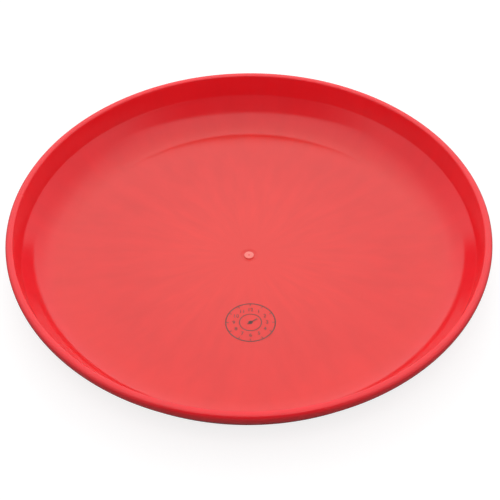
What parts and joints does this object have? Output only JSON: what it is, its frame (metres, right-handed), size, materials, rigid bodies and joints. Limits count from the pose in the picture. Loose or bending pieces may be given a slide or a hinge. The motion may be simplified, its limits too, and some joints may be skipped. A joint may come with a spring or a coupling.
{
  "type": "flying disc",
  "caption": "Round one-piece throwing disc: flat flight plate, quarter-round shoulder and thickened rim, moulded in translucent plastic, open on its underside.",
  "frame": {"origin": "centre of the flight plate's flat outer face, which the disc rests on", "axes": "+Z along the disc's axis, from the flight plate towards the open side; X and Y are any two diameters"},
  "size_m": [0.215, 0.215, 0.0225],
  "materials": {
    "red_polypropylene": "translucent red polypropylene, smooth moulded gloss, paler at the gate"
  },
  "bodies": {
    "root": {"disc_moulding": "red_polypropylene"}
  },
  "joints": []
}
